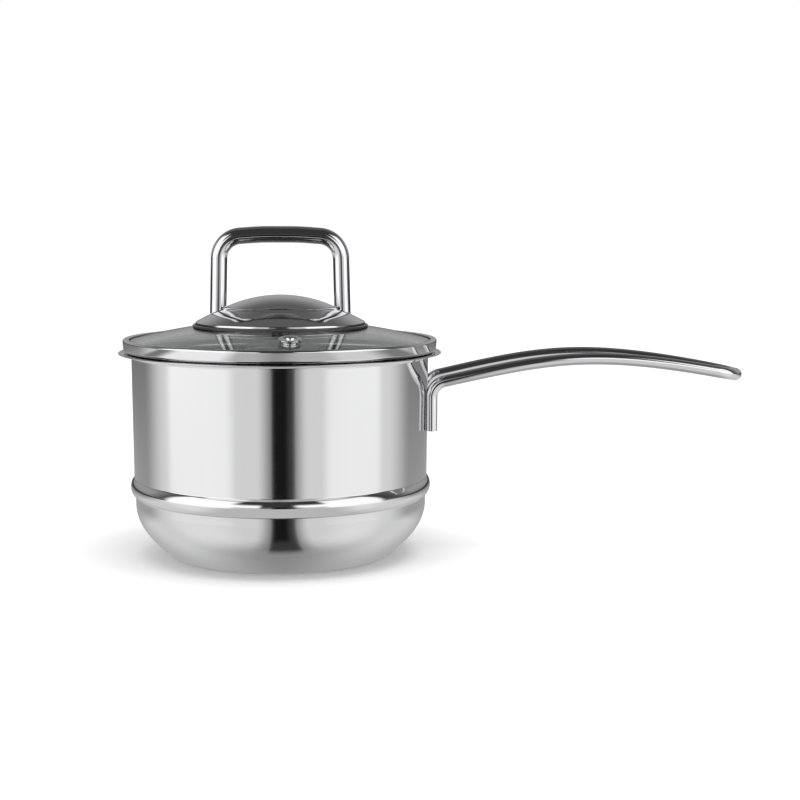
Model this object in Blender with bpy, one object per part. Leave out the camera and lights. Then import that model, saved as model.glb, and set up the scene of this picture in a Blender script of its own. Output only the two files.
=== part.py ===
"""Stainless fondue pan with a bead round its wall, a wire handle and a glass lid, in metres, +Z up.

The origin is the centre of the flat base, and the long handle points along +X.
"""

import math

import bmesh
import bpy
from mathutils import Vector
from mathutils.geometry import interpolate_bezier

# Clearance left between two pieces that touch
GAP = 0.0003

# Pan body, one drawn sheet
POT_RADIUS = 0.0806
POT_HEIGHT = 0.1113
WALL = 0.0007
WALL_TAPER = 0.0007
FLANGE_WIDTH = 0.0070
FLANGE_FILLET = 0.0022
BEAD_ABOVE_BOWL = 0.0036
BEAD_WIDTH = 0.0100
BEAD_PROUD = 0.0023
BEAD_STEP = 0.0006
BOWL_HEIGHT = 0.0296
BASE_RADIUS = 0.0587
BASE_FILLET = 0.0045
BOWL_FULLNESS = 2.1
BEAD_CENTRE = BOWL_HEIGHT + BEAD_ABOVE_BOWL + BEAD_WIDTH / 2

# Long handle, one rod bent into a hairpin and pressed flat where it is welded to the wall
HANDLE_ROD = 0.0064
HANDLE_FEET_SPREAD = 0.0410
HANDLE_MIDDLE_SPREAD = 0.0382
HANDLE_TIP_SPREAD = 0.0280
HANDLE_ARM = 0.1600
HANDLE_BEND_BELOW_RIM = 0.0270
HANDLE_TIP_BELOW_RIM = 0.0117
HANDLE_BEND_RADIUS = 0.0130
HANDLE_RISE = math.radians(12.7)
HANDLE_FALL = math.radians(10.5)
HANDLE_RISE_HOLD = 0.35
HANDLE_FALL_HOLD = 0.52
HANDLE_LEG = 0.0162
HANDLE_FLAT = 0.0007

# Lid rim, one rolled band that rests on the flange and drops a skirt into the mouth
RING_SHEET = 0.0006
RING_SETBACK = 0.0023
RING_LEAN = 0.0006
RING_CROWN = 0.0018
RING_CORNER = 0.0013
RING_LIP = 0.0035
RING_CURL = 0.0020
SKIRT_BEND = 0.0009
SKIRT_DEPTH = 0.0046
LID_PLAY = 0.0006
BEDDING = 0.0005
BEDDING_WIDTH = 0.0020

# Lid glass
GLASS = 0.0040
GLASS_DOME = 0.3200
GLASS_EDGE = 0.0006
VENT_AZIMUTH = math.radians(-85.0)

# Lid handle and the stamped rosette that it is welded to
LID_ROD = 0.0089
LID_FEET_SPREAD = 0.0678
LID_SHOULDER_SPREAD = 0.0660
LID_HANDLE_HEIGHT = 0.0376
LID_CORNER = 0.0170
ROSETTE_SHEET = 0.0008
ROSETTE_MARGIN = 0.0091
ROSETTE_RIM = 0.0022
ROSETTE_RIM_LEAN = 0.0007
ROSETTE_RIM_CORNER = 0.0013
ROSETTE_SKIRT = 0.0067
ROSETTE_SWELL = 0.0005
ROSETTE_SWELL_ROUND = 0.0300
ROSETTE_DOME = 0.0067
ROSETTE_DOME_MARGIN = 0.0010
ROSETTE_CREASE = 0.0005
GASKET_FOOT = 0.0006
GASKET_WIDTH = 0.0032
GASKET_UPSTAND = 0.0011

# Screw that holds the rosette down through the glass
BOSS_RADIUS = 0.0050
BOSS_CLEARANCE = 0.0005
SCREW_RADIUS = 0.0024
SCREW_REACH = 0.0085
SCREW_HEAD_RADIUS = 0.0046
SCREW_HEAD = 0.0026
SCREW_HEAD_ROUND = 0.0014
DRIVE_SLOT = 0.0011
DRIVE_WIDTH = 0.0052
DRIVE_DEPTH = 0.0014
WASHER_RADIUS = 0.0095
WASHER = 0.0012
SEAL_RADIUS = 0.0085
SEAL = 0.0016
SEAL_COLLAR = 0.0017

# Steam vent, an eyelet rolled over a washer
EYELET_RADIUS = 0.0060
EYELET_HEAD = 0.0019
EYELET_ROUND = 0.0014
EYELET_TUBE = 0.0029
EYELET_SHEET = 0.0009
EYELET_FLARE = 0.0044
GROMMET_SLEEVE = 0.0009
GROMMET_FLANGE = 0.0007
GROMMET_RADIUS = 0.0053
VENT_WASHER = 0.0009
VENT_WASHER_RADIUS = 0.0056

# Holes in the glass, each round what passes through it
SCREW_HOLE = SCREW_RADIUS + SEAL_COLLAR + 2 * GAP
VENT_HOLE = EYELET_TUBE + GROMMET_SLEEVE + 2 * GAP

# Fineness of the round forms
STEPS = 44
SMALL_STEPS = 24
ARC_STEP = math.radians(30.0)
ROD_ARC_STEP = math.radians(15.0)


def clear_scene():
    for old in list(bpy.data.objects):
        bpy.data.objects.remove(old, do_unlink=True)


def material(name, colour, metallic, roughness, alpha=1.0):
    made = bpy.data.materials.new(name)
    made.use_nodes = True
    shader = made.node_tree.nodes["Principled BSDF"]
    shader.inputs["Base Color"].default_value = (*colour, 1.0)
    shader.inputs["Metallic"].default_value = metallic
    shader.inputs["Roughness"].default_value = roughness
    shader.inputs["Alpha"].default_value = alpha
    made.diffuse_color = (*colour, alpha)
    return made


def fillet(before, corner, after, radius, step):
    """Points of an arc that rounds a corner of an outline."""
    into = (Vector(before) - Vector(corner)).normalized()
    away = (Vector(after) - Vector(corner)).normalized()
    half = math.acos(max(-1.0, min(1.0, into.dot(away)))) / 2
    turn = math.pi - 2 * half
    if radius <= 0 or turn < 0.02:
        return [tuple(corner)]
    centre = Vector(corner) + (into + away).normalized() * radius / math.sin(half)
    first = Vector(corner) + into * radius / math.tan(half) - centre
    last = Vector(corner) + away * radius / math.tan(half) - centre
    count = max(1, math.ceil(turn / step))
    points = []
    for i in range(count + 1):
        share = i / count
        spoke = first * math.sin((1 - share) * turn) + last * math.sin(share * turn)
        points.append(tuple(centre + spoke / math.sin(turn)))
    return points


def outline(corners, step=ARC_STEP):
    """An outline through (radius, height, fillet) corners, with each fillet drawn as an arc."""
    points = [corners[0][:2]]
    for before, corner, after in zip(corners, corners[1:], corners[2:]):
        points += fillet(before[:2], corner[:2], after[:2], corner[2], step)
    points.append(corners[-1][:2])
    return points


def offset(points, distance):
    """The outline moved to its right-hand side, seen along its direction."""
    normals = []
    for a, b in zip(points, points[1:]):
        along = (Vector(b) - Vector(a)).normalized()
        normals.append(Vector((along.y, -along.x)))
    moved = []
    for i, point in enumerate(points):
        before = normals[max(i - 1, 0)]
        after = normals[min(i, len(normals) - 1)]
        mitre = (before + after).normalized()
        moved.append(tuple(Vector(point) + mitre * distance / mitre.dot(after)))
    return moved


def on_axis(points, index):
    """The outline with one end put on the axis."""
    moved = list(points)
    moved[index] = (0.0, moved[index][1])
    return moved


def lathe(name, points, finish, closed=False, steps=STEPS):
    """A turned piece from its half section, whose outer side runs from top to bottom."""
    edges = [(i, i + 1) for i in range(len(points) - 1)]
    if closed:
        edges.append((len(points) - 1, 0))
    mesh = bpy.data.meshes.new(name)
    mesh.from_pydata([(r, 0.0, z) for r, z in points], edges, [])
    piece = bpy.data.objects.new(name, mesh)
    bpy.context.scene.collection.objects.link(piece)
    screw = piece.modifiers.new("turn", "SCREW")
    screw.axis = "Z"
    screw.angle = 2 * math.pi
    screw.steps = steps
    screw.render_steps = steps
    screw.use_merge_vertices = True
    screw.merge_threshold = 0.00001
    screw.use_smooth_shade = True
    mesh.materials.append(finish)
    return piece


def rod(name, path, radius, finish, sides=10):
    """A round rod along a path, as one closed mesh with flat ends."""
    curve = bpy.data.curves.new(name, "CURVE")
    curve.dimensions = "3D"
    curve.bevel_depth = radius
    curve.bevel_resolution = sides // 2 - 2
    curve.use_fill_caps = True
    spline = curve.splines.new("POLY")
    spline.points.add(len(path) - 1)
    for point, place in zip(spline.points, path):
        point.co = (*place, 1.0)
    guide = bpy.data.objects.new(name + "_path", curve)
    bpy.context.scene.collection.objects.link(guide)
    graph = bpy.context.evaluated_depsgraph_get()
    mesh = bpy.data.meshes.new_from_object(guide.evaluated_get(graph))
    bpy.data.objects.remove(guide, do_unlink=True)
    shape = bmesh.new()
    shape.from_mesh(mesh)
    bmesh.ops.remove_doubles(shape, verts=shape.verts, dist=0.000001)
    bmesh.ops.recalc_face_normals(shape, faces=shape.faces)
    shape.to_mesh(mesh)
    shape.free()
    mesh.name = name
    mesh.shade_smooth()
    mesh.materials.clear()
    mesh.materials.append(finish)
    piece = bpy.data.objects.new(name, mesh)
    bpy.context.scene.collection.objects.link(piece)
    return piece


def cut(piece, cutter):
    """Takes the cutter's shape out of the piece."""
    cutter.hide_render = True
    cutter.display_type = "WIRE"
    boolean = piece.modifiers.new("cut_" + cutter.name, "BOOLEAN")
    boolean.operation = "DIFFERENCE"
    boolean.solver = "EXACT"
    boolean.object = cutter


def wall_radius(height):
    """Outside radius of the pan's wall, which tapers down to the bead."""
    share = (POT_HEIGHT - height) / (POT_HEIGHT - BEAD_CENTRE)
    return POT_RADIUS - WALL_TAPER * share


def bead_arc():
    """Outside of the bead, a round band pressed outwards from the wall."""
    top = Vector((wall_radius(BEAD_CENTRE + BEAD_WIDTH / 2), BEAD_CENTRE + BEAD_WIDTH / 2))
    bottom = Vector((POT_RADIUS - WALL_TAPER - BEAD_STEP, BEAD_CENTRE - BEAD_WIDTH / 2))
    chord = (top - bottom).length
    radius = (chord * chord / 4 + BEAD_PROUD * BEAD_PROUD) / (2 * BEAD_PROUD)
    outward = Vector((top.y - bottom.y, bottom.x - top.x)).normalized()
    centre = (top + bottom) / 2 + outward * (BEAD_PROUD - radius)
    half = math.asin(min(1.0, chord / 2 / radius))
    lean = math.atan2(outward.y, outward.x)
    count = 6
    return [
        (
            centre.x + radius * math.cos(lean + half * (1 - 2 * i / count)),
            centre.y + radius * math.sin(lean + half * (1 - 2 * i / count)),
        )
        for i in range(count + 1)
    ]


def bowl_curve():
    """Outside of the bowl below the bead, which draws in ever faster towards the flat base."""
    side = POT_RADIUS - WALL_TAPER - BEAD_STEP
    count = 6
    points = []
    for i in range(count + 1):
        depth = i / count
        radius = side - (side - BASE_RADIUS) * depth**BOWL_FULLNESS
        points.append((radius, BOWL_HEIGHT * (1 - depth)))
    return points


def make_pot_body(finish):
    """The drawn shell: flange, wall, bead, bowl and flat base."""
    nose = POT_RADIUS + FLANGE_WIDTH
    underside = POT_HEIGHT - WALL
    bowl = bowl_curve()
    corners = [(nose - WALL / 2, underside, 0), (POT_RADIUS, underside, FLANGE_FILLET)]
    corners += [(r, z, 0) for r, z in bead_arc() + bowl[:-1]]
    corners += [(*bowl[-1], BASE_FILLET), (0, 0, 0)]
    outside = outline(corners)
    inside = on_axis(offset(outside, WALL), -1)
    edge = [(nose, POT_HEIGHT - WALL / 2)]
    return lathe("pot_body", inside[::-1] + edge + outside, finish)


def handle_spread(share):
    """Distance between the handle's two strands, along the arm from the wall to the tip."""
    swell = 4 * HANDLE_MIDDLE_SPREAD - 2 * HANDLE_FEET_SPREAD - 2 * HANDLE_TIP_SPREAD
    taper = HANDLE_TIP_SPREAD - HANDLE_FEET_SPREAD
    return HANDLE_FEET_SPREAD + taper * share + swell * share * (1 - share)


def handle_strand():
    """Centre line of the strand on the -Y side, from the foot to the start of the tip's turn."""
    bend_height = POT_HEIGHT - HANDLE_BEND_BELOW_RIM
    reach = wall_radius(bend_height) + GAP + HANDLE_ROD / 2 - HANDLE_FLAT
    foot = math.sqrt(reach**2 - (HANDLE_FEET_SPREAD / 2) ** 2)
    line = [(foot, bend_height - HANDLE_LEG)]
    turn = math.pi / 2 - HANDLE_RISE
    count = 6
    for i in range(count + 1):
        angle = turn * i / count
        across = HANDLE_BEND_RADIUS * (1 - math.cos(angle))
        line.append((foot + across, bend_height + HANDLE_BEND_RADIUS * math.sin(angle)))
    start = Vector(line[-1])
    end = Vector((foot + HANDLE_ARM, POT_HEIGHT - HANDLE_TIP_BELOW_RIM))
    span = (end - start).length
    upward = Vector((math.cos(HANDLE_RISE), math.sin(HANDLE_RISE)))
    downward = Vector((math.cos(HANDLE_FALL), -math.sin(HANDLE_FALL)))
    rise = start + upward * span * HANDLE_RISE_HOLD
    fall = end - downward * span * HANDLE_FALL_HOLD
    line += [tuple(p) for p in interpolate_bezier(start, rise, fall, end, 15)[1:]]
    strand = []
    for x, z in line:
        share = (x - foot) / HANDLE_ARM
        strand.append((x, -handle_spread(share) / 2, z))
    return strand


def handle_turn(strand):
    """Centre line of the turn at the tip, which runs on from the strand without a kink."""
    (x0, y0, z0), (x1, y1, z1) = strand[-2:]
    heading = math.atan2(y1 - y0, x1 - x0)
    drop = (z1 - z0) / (x1 - x0)
    radius = -y1 / math.cos(heading)
    centre = x1 - radius * math.sin(heading)
    sweep = math.pi / 2 - heading
    count = 10
    turn = []
    for i in range(1, count):
        angle = sweep * (2 * i / count - 1)
        x = centre + radius * math.cos(angle)
        turn.append((x, radius * math.sin(angle), z1 + drop * (x - x1)))
    return turn


def make_long_handle(finish):
    """Hairpin of one rod, its two feet pressed to the curve of the wall."""
    strand = handle_strand()
    far = [(x, -y, z) for x, y, z in strand[::-1]]
    piece = rod("long_handle", strand + handle_turn(strand) + far, HANDLE_ROD / 2, finish)
    bottom = POT_HEIGHT - HANDLE_BEND_BELOW_RIM - HANDLE_LEG - HANDLE_ROD
    top = POT_HEIGHT - WALL - FLANGE_FILLET
    seat = [(0, top), (wall_radius(top) + GAP, top), (wall_radius(bottom) + GAP, bottom), (0, bottom)]
    cut(piece, lathe("wall_cutter", seat, finish))
    return piece


def ring_outside():
    """Outside of the rolled rim: lip on the glass, crown, leaning wall, curl, floor and skirt."""
    floor = POT_HEIGHT + GAP
    top = glass_height(glass_radius()) + RING_CROWN
    wall = ring_radius()
    lip = wall - RING_LIP
    skirt = POT_RADIUS - WALL - LID_PLAY
    return outline([
        (lip, glass_height(lip) + GAP + RING_SHEET, 0),
        (wall, top, RING_CORNER),
        (wall - RING_LEAN, floor, RING_CURL),
        (skirt, floor, SKIRT_BEND),
        (skirt, floor - SKIRT_DEPTH, 0),
    ])


def ring_radius():
    return POT_RADIUS + FLANGE_WIDTH - RING_SETBACK


def glass_radius():
    """The glass stops inside the ring's wall and its bedding."""
    return ring_radius() - RING_LEAN - RING_SHEET - 2 * GAP - BEDDING


def glass_height(radius):
    """Height of the top of the glass at a radius. Its edge stands on the bedding in the ring."""
    edge = glass_radius()
    seat = POT_HEIGHT + GAP + RING_SHEET + 2 * GAP + BEDDING
    lean = math.asin(edge / GLASS_DOME)
    edge_top = seat + GLASS * math.cos(lean)
    return edge_top + math.sqrt(GLASS_DOME**2 - radius**2) - math.sqrt(GLASS_DOME**2 - edge**2)


def make_rim_ring(finish):
    outside = ring_outside()
    inside = offset(outside, RING_SHEET)
    return lathe("lid_rim_ring", outside + inside[::-1], finish, closed=True)


def make_rim_bedding(finish):
    """Soft strip between the edge of the glass and the ring."""
    floor = POT_HEIGHT + GAP
    wall = ring_radius() - RING_LEAN
    upper = glass_height(glass_radius()) - GLASS_EDGE
    liner = outline([
        (wall, upper, 0),
        (wall, floor, RING_CURL),
        (wall - RING_CURL - BEDDING_WIDTH, floor, 0),
    ])
    outside = offset(liner, RING_SHEET + GAP)
    inside = offset(liner, RING_SHEET + GAP + BEDDING)
    return lathe("rim_bedding", outside + inside[::-1], finish, closed=True)


def make_lid_glass(finish):
    """Shallow dome of even thickness with ground edges, a screw hole and a vent hole."""
    edge = glass_radius()
    count = 5
    top = []
    for i in range(count + 1):
        radius = SCREW_HOLE + (edge - GLASS_EDGE - SCREW_HOLE) * i / count
        top.append((radius, glass_height(radius)))
    under = offset(top, GLASS)
    under[0] = (SCREW_HOLE, under[0][1])
    under[-1] = (edge - GLASS_EDGE, under[-1][1])
    rim = [
        (edge, glass_height(edge) - GLASS_EDGE),
        (edge, under[-1][1] + GLASS_EDGE),
    ]
    piece = lathe("lid_glass", top + rim + under[::-1], finish, closed=True)
    reach = 2 * GLASS
    drill = [(0, reach), (VENT_HOLE, reach), (VENT_HOLE, -reach), (0, -reach)]
    cutter = lathe("vent_drill", drill, finish, steps=SMALL_STEPS)
    cutter.parent = vent_seat()
    cut(piece, cutter)
    return piece


def vent_seat():
    """Empty at the vent's place on the glass, its Z along the surface's normal."""
    name = "vent_seat"
    if name in bpy.data.objects:
        return bpy.data.objects[name]
    radius = (rosette_radius() + ring_radius() - RING_LIP) / 2
    seat = bpy.data.objects.new(name, None)
    bpy.context.scene.collection.objects.link(seat)
    place = (radius * math.cos(VENT_AZIMUTH), radius * math.sin(VENT_AZIMUTH))
    seat.location = (*place, glass_height(radius))
    seat.rotation_euler = (0, math.asin(radius / GLASS_DOME), VENT_AZIMUTH)
    bpy.context.view_layer.update()
    return seat


def make_vent(steel, silicone):
    """Eyelet, soft grommet and washer, stacked on the vent's own axis."""
    sleeve = EYELET_TUBE + GAP
    flange = GAP + GROMMET_FLANGE
    washer_top = -GLASS - GAP
    washer_under = washer_top - VENT_WASHER
    grommet = [
        (sleeve, flange),
        (GROMMET_RADIUS, flange),
        (GROMMET_RADIUS, GAP),
        (sleeve + GROMMET_SLEEVE, GAP),
        (sleeve + GROMMET_SLEEVE, -GLASS),
        (sleeve, -GLASS),
    ]
    washer = [
        (sleeve, washer_top),
        (VENT_WASHER_RADIUS, washer_top),
        (VENT_WASHER_RADIUS, washer_under),
        (sleeve, washer_under),
    ]
    seat = flange + GAP
    crown = seat + EYELET_HEAD
    bore = EYELET_TUBE - EYELET_SHEET
    flare = washer_under - GAP
    eyelet = outline([
        (bore, seat, 0),
        (bore, crown, EYELET_ROUND),
        (EYELET_RADIUS, crown, EYELET_ROUND),
        (EYELET_RADIUS, seat, 0),
        (EYELET_TUBE, seat, 0),
        (EYELET_TUBE, flare, 0),
        (EYELET_FLARE, flare, 0),
        (EYELET_FLARE - EYELET_SHEET / 2, flare - EYELET_SHEET, 0),
        (bore, flare - EYELET_SHEET, 0),
    ])
    pieces = (
        ("vent_grommet", grommet, silicone),
        ("vent_washer", washer, steel),
        ("vent_eyelet", eyelet, steel),
    )
    for name, section, finish in pieces:
        piece = lathe(name, section, finish, closed=True, steps=SMALL_STEPS)
        piece.parent = vent_seat()


def rosette_radius():
    return LID_FEET_SPREAD / 2 + LID_ROD / 2 + ROSETTE_MARGIN


def rosette_foot():
    """Height of the rosette's lower edge, which stands on its gasket."""
    return glass_height(rosette_radius()) + 2 * GAP + GASKET_FOOT


def rosette_top():
    """Height of the rosette's crown."""
    return rosette_foot() + ROSETTE_RIM + ROSETTE_SKIRT + ROSETTE_CREASE + ROSETTE_DOME


def rosette_outside():
    """Outside of the rosette from its crown to its lower edge: dome, crease, skirt and rim."""
    dome_edge = LID_FEET_SPREAD / 2 - LID_ROD / 2 + ROSETTE_DOME_MARGIN
    bulge = (dome_edge**2 + ROSETTE_DOME**2) / (2 * ROSETTE_DOME)
    count = 4
    corners = []
    for i in range(count + 1):
        angle = math.asin(dome_edge / bulge) * i / count
        height = rosette_top() - bulge * (1 - math.cos(angle))
        corners.append((bulge * math.sin(angle), height, 0))
    foot = rosette_foot()
    shoulder = Vector((rosette_radius() - ROSETTE_RIM_LEAN, foot + ROSETTE_RIM))
    crease = Vector((dome_edge + ROSETTE_CREASE, shoulder.y + ROSETTE_SKIRT))
    middle = (crease + shoulder) / 2 + Vector((0, ROSETTE_SWELL))
    corners += [
        (*crease, 0),
        (*middle, ROSETTE_SWELL_ROUND),
        (*shoulder, ROSETTE_RIM_CORNER),
        (rosette_radius(), foot, 0),
    ]
    return outline(corners)


def make_rosette(finish):
    outside = rosette_outside()
    inside = on_axis(offset(outside, ROSETTE_SHEET), 0)
    inside[-1] = (rosette_radius() - ROSETTE_SHEET, rosette_foot())
    return lathe("lid_rosette", outside + inside[::-1], finish)


def make_rosette_gasket(finish):
    """Soft ring under the rosette's edge, with an upstand inside it."""
    outer = rosette_radius()
    inner = outer - ROSETTE_SHEET - GAP - GASKET_WIDTH
    upstand = outer - ROSETTE_SHEET - GAP - ROSETTE_RIM_LEAN
    section = [
        (inner, rosette_foot() + GASKET_UPSTAND),
        (upstand, rosette_foot() + GASKET_UPSTAND),
        (upstand, rosette_foot() - GAP),
        (outer, rosette_foot() - GAP),
        (outer, glass_height(outer) + GAP),
        (inner, glass_height(inner) + GAP),
    ]
    return lathe("rosette_gasket", section, finish, closed=True)


def make_lid_handle(finish):
    """Square arch of one rod in the XZ plane, its feet cut to the rosette."""
    top = rosette_top() + LID_HANDLE_HEIGHT - LID_ROD / 2
    floor = rosette_foot()
    foot = LID_FEET_SPREAD / 2
    shoulder = LID_SHOULDER_SPREAD / 2
    arch = outline([
        (-foot, floor, 0),
        (-shoulder, top, LID_CORNER),
        (shoulder, top, LID_CORNER),
        (foot, floor, 0),
    ], ROD_ARC_STEP)
    piece = rod("lid_handle", [(x, 0, z) for x, z in arch], LID_ROD / 2, finish, sides=12)
    cover = on_axis(offset(rosette_outside(), -GAP), 0)
    below = floor - 2 * LID_ROD
    seat = cover + [(rosette_radius() + GAP, below), (0, below)]
    cut(piece, lathe("rosette_cutter", seat, finish))
    return piece


def make_lid_fixing(steel, silicone):
    """Boss under the rosette, and the screw, washer and seal that clamp it through the glass."""
    glass_top = glass_height(0)
    glass_under = glass_top - GLASS
    boss_top = rosette_outside()[1][1] - ROSETTE_SHEET - GAP
    boss_foot = glass_top + BOSS_CLEARANCE
    bore = SCREW_RADIUS + GAP
    tip = boss_foot + SCREW_REACH
    boss = [
        (0, boss_top),
        (BOSS_RADIUS, boss_top),
        (BOSS_RADIUS, boss_foot),
        (bore, boss_foot),
        (bore, tip + BOSS_CLEARANCE),
        (0, tip + BOSS_CLEARANCE),
    ]
    seal_top = glass_under - GAP
    seal_under = seal_top - SEAL
    seal = [
        (bore, glass_top - GAP),
        (SCREW_HOLE - GAP, glass_top - GAP),
        (SCREW_HOLE - GAP, seal_top),
        (SEAL_RADIUS, seal_top - SEAL_RADIUS**2 / (2 * GLASS_DOME)),
        (SEAL_RADIUS, seal_under),
        (bore, seal_under),
    ]
    washer_top = seal_under - GAP
    washer_under = washer_top - WASHER
    washer = [
        (bore, washer_top),
        (WASHER_RADIUS, washer_top),
        (WASHER_RADIUS, washer_under),
        (bore, washer_under),
    ]
    head_top = washer_under - GAP
    head_under = head_top - SCREW_HEAD
    screw = outline([
        (0, tip, 0),
        (SCREW_RADIUS, tip, 0),
        (SCREW_RADIUS, head_top, 0),
        (SCREW_HEAD_RADIUS, head_top, 0),
        (SCREW_HEAD_RADIUS, head_under, SCREW_HEAD_ROUND),
        (0, head_under, 0),
    ])
    lathe("rosette_boss", boss, steel, steps=SMALL_STEPS)
    lathe("inner_seal", seal, silicone, closed=True, steps=SMALL_STEPS)
    lathe("screw_washer", washer, steel, closed=True, steps=SMALL_STEPS)
    piece = lathe("lid_screw", screw, steel, steps=SMALL_STEPS)
    for name, size in (("drive_x", (DRIVE_WIDTH, DRIVE_SLOT)), ("drive_y", (DRIVE_SLOT, DRIVE_WIDTH))):
        mesh = bpy.data.meshes.new(name)
        shape = bmesh.new()
        bmesh.ops.create_cube(shape, size=1.0)
        bmesh.ops.scale(shape, vec=(*size, 2 * DRIVE_DEPTH), verts=shape.verts)
        shape.to_mesh(mesh)
        shape.free()
        slot = bpy.data.objects.new(name, mesh)
        slot.location = (0, 0, head_under)
        bpy.context.scene.collection.objects.link(slot)
        cut(piece, slot)


def main():
    clear_scene()
    polished = material("polished_steel", (0.62, 0.62, 0.63), 1.0, 0.05)
    brushed = material("brushed_steel", (0.50, 0.50, 0.51), 1.0, 0.30)
    glass = material("tempered_glass", (0.80, 0.86, 0.84), 0.0, 0.03, alpha=0.35)
    silicone = material("silicone", (0.05, 0.05, 0.05), 0.0, 0.55)
    clear_silicone = material("clear_silicone", (0.55, 0.56, 0.56), 0.0, 0.45)
    make_pot_body(polished)
    make_long_handle(polished)
    make_rim_ring(polished)
    make_rim_bedding(clear_silicone)
    make_lid_glass(glass)
    make_vent(brushed, silicone)
    make_rosette(polished)
    make_rosette_gasket(silicone)
    make_lid_handle(polished)
    make_lid_fixing(brushed, silicone)


main()
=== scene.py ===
"""Looks of the polished steel fondue pan, fitted over its CAD frame.

Metres, +Z up, the long handle along +X.
"""

import math

import bmesh
import bpy
from mathutils import Matrix, Vector
from mathutils.geometry import interpolate_bezier


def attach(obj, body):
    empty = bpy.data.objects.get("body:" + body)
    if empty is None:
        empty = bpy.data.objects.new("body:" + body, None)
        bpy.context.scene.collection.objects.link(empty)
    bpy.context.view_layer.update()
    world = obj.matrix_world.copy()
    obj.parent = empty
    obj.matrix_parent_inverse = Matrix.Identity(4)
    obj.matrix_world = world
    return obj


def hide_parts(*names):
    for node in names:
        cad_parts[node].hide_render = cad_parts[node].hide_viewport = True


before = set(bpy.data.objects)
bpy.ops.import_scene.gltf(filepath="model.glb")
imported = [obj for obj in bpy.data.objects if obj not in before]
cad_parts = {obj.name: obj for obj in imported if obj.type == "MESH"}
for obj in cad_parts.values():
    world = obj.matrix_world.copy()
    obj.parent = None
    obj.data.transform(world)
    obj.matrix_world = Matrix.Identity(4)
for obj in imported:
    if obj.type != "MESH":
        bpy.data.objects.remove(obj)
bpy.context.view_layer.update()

# Clearance between two pieces that touch
GAP = 0.0003

# Pan body, one drawn sheet
POT_RADIUS = 0.0806
POT_HEIGHT = 0.1113
WALL = 0.0007
WALL_TAPER = 0.0007
FLANGE_WIDTH = 0.0070
FLANGE_FILLET = 0.0022
BEAD_ABOVE_BOWL = 0.0036
BEAD_WIDTH = 0.0100
BEAD_PROUD = 0.0023
BEAD_STEP = 0.0006
BEAD_SEAM = 0.0005
BOWL_HEIGHT = 0.0296
BASE_RADIUS = 0.0587
BASE_FILLET = 0.0045
BOWL_FULLNESS = 2.1
BEAD_CENTRE = BOWL_HEIGHT + BEAD_ABOVE_BOWL + BEAD_WIDTH / 2

# Long handle
HANDLE_ROD = 0.0064
HANDLE_FEET_SPREAD = 0.0370
HANDLE_MIDDLE_SPREAD = 0.0400
HANDLE_TIP_SPREAD = 0.0315
HANDLE_ARM = 0.1564
HANDLE_BEND_BELOW_RIM = 0.0237
HANDLE_TIP_BELOW_RIM = 0.0106
HANDLE_BEND_RADIUS = 0.0089
HANDLE_RISE = math.radians(12.6)
HANDLE_FALL = math.radians(10.4)
HANDLE_RISE_HOLD = 0.38
HANDLE_FALL_HOLD = 0.48
HANDLE_LEG = 0.0183
HANDLE_FLAT = 0.0005
HANDLE_END_ROUND = 0.0011

# Lid rim
RING_SHEET = 0.0006
RING_SETBACK = 0.0023
RING_LEAN = 0.0006
RING_CROWN = 0.0018
RING_CORNER = 0.0013
RING_LIP = 0.0035
RING_CURL = 0.0020
SKIRT_BEND = 0.0009
SKIRT_DEPTH = 0.0046
LID_PLAY = 0.0006
BEDDING = 0.0005
BEDDING_WIDTH = 0.0020

# Lid glass
GLASS = 0.0040
GLASS_DOME = 0.3200
GLASS_EDGE = 0.0006
VENT_AZIMUTH = math.radians(-85.0)

# Lid handle and rosette
LID_ROD = 0.0089
LID_FEET_SPREAD = 0.0678
LID_SHOULDER_SPREAD = 0.0655
LID_HANDLE_HEIGHT = 0.0371
LID_CORNER = 0.0160
LID_BOW = 0.0016
LID_BOW_START = 0.0100
LID_BOW_ROUND = 0.1000
LID_ROD_END_ROUND = 0.0005
ROSETTE_SHEET = 0.0008
ROSETTE_MARGIN = 0.0077
ROSETTE_RIM = 0.0010
ROSETTE_RIM_CORNER = 0.0006
ROSETTE_SKIRT = 0.0066
ROSETTE_SWELL = 0.0005
ROSETTE_SWELL_ROUND = 0.0300
ROSETTE_DOME = 0.0069
ROSETTE_DOME_MARGIN = 0.0010
ROSETTE_CREASE = 0.0010
ROSETTE_CREASE_ROUND = 0.0012
GASKET_FOOT = 0.0011
GASKET_WIDTH = 0.0032
GASKET_UPSTAND = 0.0011
GASKET_PROUD = 0.0016
GASKET_ROUND = 0.0011

# Screw that holds the rosette down
SCREW_RADIUS = 0.0024
SEAL_COLLAR = 0.0017
SCREW_HOLE = SCREW_RADIUS + SEAL_COLLAR + 2 * GAP

# Steam vent
EYELET_RADIUS = 0.0060
EYELET_CREST = 0.0038
EYELET_HEAD = 0.0006
EYELET_DISH = 0.0004
EYELET_THROAT = 0.0020
EYELET_ROUND = 0.0008
EYELET_UNDERCUT = 0.0004
EYELET_TUBE = 0.0029
EYELET_SHEET = 0.0009
EYELET_FLARE = 0.0044
GROMMET_SLEEVE = 0.0009
GROMMET_FLANGE = 0.0002
GROMMET_RADIUS = 0.0048
VENT_WASHER = 0.0009
VENT_HOLE = EYELET_TUBE + GROMMET_SLEEVE + 2 * GAP

# Fineness of the round forms, and the distance within which points are merged
STEPS = 256
SMALL_STEPS = 96
ARC_STEP = math.radians(6.0)
ROD_ARC_STEP = math.radians(3.0)
ROD_SIDES = 48
LID_ROD_SIDES = 64
MERGE = 0.000002
ROD_MERGE = 0.000001

# Studio: the dome of cards, the table, and how far the two small cards of painted reflection reach
# from the axis
TENT_RADIUS = 6.0
TABLE_RADIUS = 5.9
CARD_REACH = 0.125


# Shapes


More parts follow.
